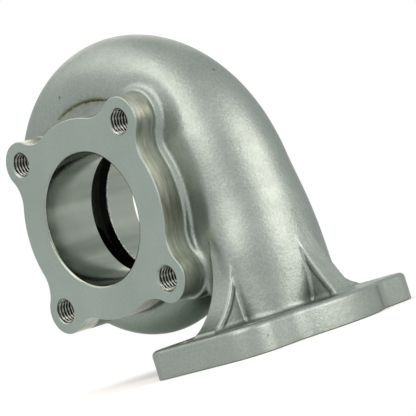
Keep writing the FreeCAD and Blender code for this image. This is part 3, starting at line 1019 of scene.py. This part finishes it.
def far_face(shell):
    """The bearing ring's face and rim, with its six screw holes."""
    rim = [(RING_R - 0.5, FACE_Y), (RING_R - 0.1, FACE_Y - 0.15), (RING_R, FACE_Y - 0.5),
           (RING_R, FACE_Y - 3.0), (RING_R - 0.1, FACE_Y - 3.3), (RING_R - 0.6, FACE_Y - 3.5)]
    rings = shell.walls([circle(r, y, ROUND) for r, y in rim], FACED)
    wall = [(RING_HOLE_R + HOLE_CHAMFER, FACE_Y), (RING_HOLE_R, FACE_Y - HOLE_CHAMFER),
            (RING_HOLE_R, FACE_Y - RING_HOLE_DEPTH)]
    loops = []
    for k in range(RING_HOLES):
        at = 2 * math.pi / RING_HOLES * (k + 0.5)
        x, z = RING_PITCH_R * math.cos(at), RING_PITCH_R * math.sin(at)
        hole = shell.walls([circle(r, y, RING_HOLE_ROUND, x, z) for r, y in wall], THREAD)
        shell.flat([hole[-1]], THREAD)
        loops.append(hole[0])
    mouth = shell.ring(circle(SPIGOT_R + SPIGOT_CHAMFER, FACE_Y, ROUND))
    shell.flat([rings[0], mouth] + loops, FACED)


def inlet_flange(shell):
    """Machined underside with sharp edges, cast sides with a rounded upper edge."""
    turn = [math.pi / 2 * k / 6 for k in range(7)]
    side = [(-INLET_EDGE_R + INLET_EDGE_R * math.sin(t),
             INLET_TOP_Z - INLET_EDGE_R + INLET_EDGE_R * math.cos(t)) for t in turn]
    side += [(0.0, INLET_MIDDLE_Z), (0.0, INLET_FACE_Z + 0.3), (-0.1, INLET_FACE_Z + 0.08),
             (-0.3, INLET_FACE_Z)]
    rings = shell.walls([at_z(inlet_outline(grow), z) for grow, z in side], CAST)
    wall = [(INLET_HOLE_R + HOLE_CHAMFER, INLET_TOP_Z), (INLET_HOLE_R + 0.1, INLET_TOP_Z - 0.3),
            (INLET_HOLE_R, INLET_TOP_Z - 0.8), (INLET_HOLE_R, INLET_MIDDLE_Z),
            (INLET_HOLE_R, INLET_FACE_Z + HOLE_CHAMFER), (INLET_HOLE_R + HOLE_CHAMFER, INLET_FACE_Z)]
    upper, lower = [], []
    for sx, sy in SIGNS:
        middle = (INLET[0] + sx * INLET_HOLE_AT[0], INLET[1] + sy * INLET_HOLE_AT[1])
        rounds = [circle(r, z, INLET_HOLE_ROUND, *middle) for r, z in wall]
        made = shell.walls([[(x, y, h) for x, h, y in points] for points in rounds], THREAD)
        upper.append(made[0])
        lower.append(made[-1])
    port = [(0.6, INLET_FACE_Z), (0.1, INLET_FACE_Z + 0.5), (-0.15, INLET_FACE_Z + 1.4)]
    mouth = shell.walls([at_z(port_outline(grow), z) for grow, z in port], FACED)
    shell.flat([rings[0]] + upper, CAST)
    shell.flat([rings[-1], mouth[0]] + lower, FACED)


def machined_piece():
    shell = Shell()
    outlet_flange(shell)
    far_face(shell)
    inlet_flange(shell)
    return shell.piece("machined_surfaces", [FACED, MILLED, THREAD, CAST, GROOVE_SHADE], sharp=50)


# Bores
def burr(shell):
    """The ragged burr on the lip behind the throat."""
    section = (-0.8, 0.2, 1.2, 2.2, 3.2)
    strips = [[] for _ in section]
    for k in range(BURR_POINTS):
        turn = 2 * math.pi * k / BURR_POINTS
        jag = 0.5 + 0.5 * math.sin(37 * turn + 2 * math.sin(11 * turn)) * math.sin(97 * turn + 1.0)
        thick = BURR_THICK + BURR_JAG * jag * (0.6 + 0.4 * math.sin(5 * turn))
        for strip, a in zip(strips, section):
            r = FAR_R + BURR_SINK - thick * math.cos(a)
            y = THROAT_END_Y - BURR_SINK - thick * math.sin(a)
            strip.append((r * math.cos(turn), y, r * math.sin(turn)))
    shell.walls(strips, BURR)


def bores_piece():
    """The bores round the turbine axis, from the outlet to the bearing side."""
    shell = Shell()
    near_wall = [(BORE_R + 1.5, THROAT_Y), (BORE_R + 0.3, THROAT_Y), (BORE_R, THROAT_Y - 0.3),
                 (BORE_R, 20.0), (BORE_R, 13.0), (BORE_R, 6.0), (BORE_R, BORE_CHAMFER),
                 (BORE_R + 0.25, 0.35), (BORE_R + BORE_CHAMFER, 0.0)]
    far_wall = [(THROAT_R + 0.5, THROAT_END_Y), (FAR_R + 0.35, THROAT_END_Y),
                (FAR_R, THROAT_END_Y + 0.35), (FAR_R, 41.0), (FAR_R, 46.0), (FAR_R, LEAD_IN_Y),
                (FAR_R + LEAD_IN, SPIGOT_Y), (SPIGOT_R, SPIGOT_Y), (SPIGOT_R, SPIGOT_CHAMFER_Y),
                (SPIGOT_R + SPIGOT_CHAMFER, FACE_Y)]
    for wall in (near_wall, far_wall):
        shell.walls([circle(r, y, ROUND) for r, y in wall], BORED)
    burr(shell)
    return shell.piece("bored_surfaces", [BORED, BURR], sharp=30)


for piece in (cast_piece(), machined_piece(), bores_piece()):
    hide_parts("turbine_housing")
    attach(piece, "root")


# Floor, light and camera
FLOOR_HALF = 6.0
FLOOR_DROP = 0.15
FLOOR_MIDDLE = (40.0, 30.0, 0.0)
FLOOR_FADE = (50.0, 220.0)
LAMP_COLOUR = (1.0, 0.885, 0.815)
LAMP_TARGET = (0.015, 0.03, 0.0)
# Name, place and size in metres, power in watts.
LAMPS = (("left_bank", (0.095, -0.71, 0.69), (0.62, 1.30), 5.9),
         ("right_bank", (0.94, 0.17, 0.17), (0.9, 0.98), 7.9),
         ("top_bank", (-0.44, -0.17, 0.87), (0.8, 0.8), 1.9),
         ("back_bank", (-0.58, 0.64, 0.63), (0.7, 0.5), 1.4))
# The photograph's viewpoint in metres, and its directions.
CAMERA_PLACE = (0.43272, -0.38466, -0.03682)
CAMERA_FORWARD = (-0.69362, 0.71875, 0.04792)
CAMERA_UP = (0.24639, 0.17421, 0.95338)
CAMERA_LENS = 130.65
SENSOR_WIDTH = 36.0


def floor():
    """A pale floor under the inlet flange that fades to the white of the backdrop."""
    mesh = bpy.data.meshes.new("floor")
    z = (INLET_FACE_Z - FLOOR_DROP) * MM
    corners = [(-sx * FLOOR_HALF, -sy * FLOOR_HALF, z) for sx, sy in SIGNS]
    mesh.from_pydata(corners, [], [(0, 1, 2, 3)])
    material, tree, shader = nodes_of("floor_white")
    shader.inputs["Base Color"].default_value = (0.82, 0.82, 0.82, 1)
    shader.inputs["Roughness"].default_value = 0.9
    glow = add(tree, "ShaderNodeEmission", {"Color": (1, 1, 1, 1), "Strength": 1.0})
    far = fade_round(tree, FLOOR_MIDDLE, *FLOOR_FADE, kind="SMOOTHSTEP")
    blend = add(tree, "ShaderNodeMixShader", {0: far, 1: shader.outputs[0], 2: glow.outputs[0]})
    tree.links.new(blend.outputs[0], tree.nodes["Material Output"].inputs["Surface"])
    mesh.materials.append(material)
    plane = bpy.data.objects.new("floor", mesh)
    bpy.context.scene.collection.objects.link(plane)


def world():
    scene_world = bpy.data.worlds.new("studio")
    bpy.context.scene.world = scene_world
    scene_world.use_nodes = True
    background = scene_world.node_tree.nodes["Background"]
    background.inputs["Color"].default_value = (1, 1, 1, 1)
    background.inputs["Strength"].default_value = 1.0


def lamp(name, place, size, power):
    data = bpy.data.lights.new(name, "AREA")
    data.shape = "RECTANGLE"
    data.size, data.size_y = size
    data.energy = power
    data.color = LAMP_COLOUR
    light = bpy.data.objects.new(name, data)
    light.location = place
    towards = Vector(LAMP_TARGET) - Vector(place)
    light.rotation_euler = towards.to_track_quat("-Z", "Y").to_euler()
    bpy.context.scene.collection.objects.link(light)


def camera():
    data = bpy.data.cameras.new("camera")
    data.sensor_width = SENSOR_WIDTH
    data.lens = CAMERA_LENS
    data.clip_start = 0.01
    data.clip_end = 50.0
    forward = Vector(CAMERA_FORWARD).normalized()
    right = forward.cross(Vector(CAMERA_UP)).normalized()
    up = right.cross(forward)
    view = bpy.data.objects.new("camera", data)
    turn = Matrix((right, up, -forward)).transposed().to_4x4()
    view.matrix_world = Matrix.Translation(CAMERA_PLACE) @ turn
    bpy.context.scene.collection.objects.link(view)
    bpy.context.scene.camera = view


floor()
world()
for settings in LAMPS:
    lamp(*settings)
camera()
bpy.context.scene.view_settings.view_transform = "Standard"
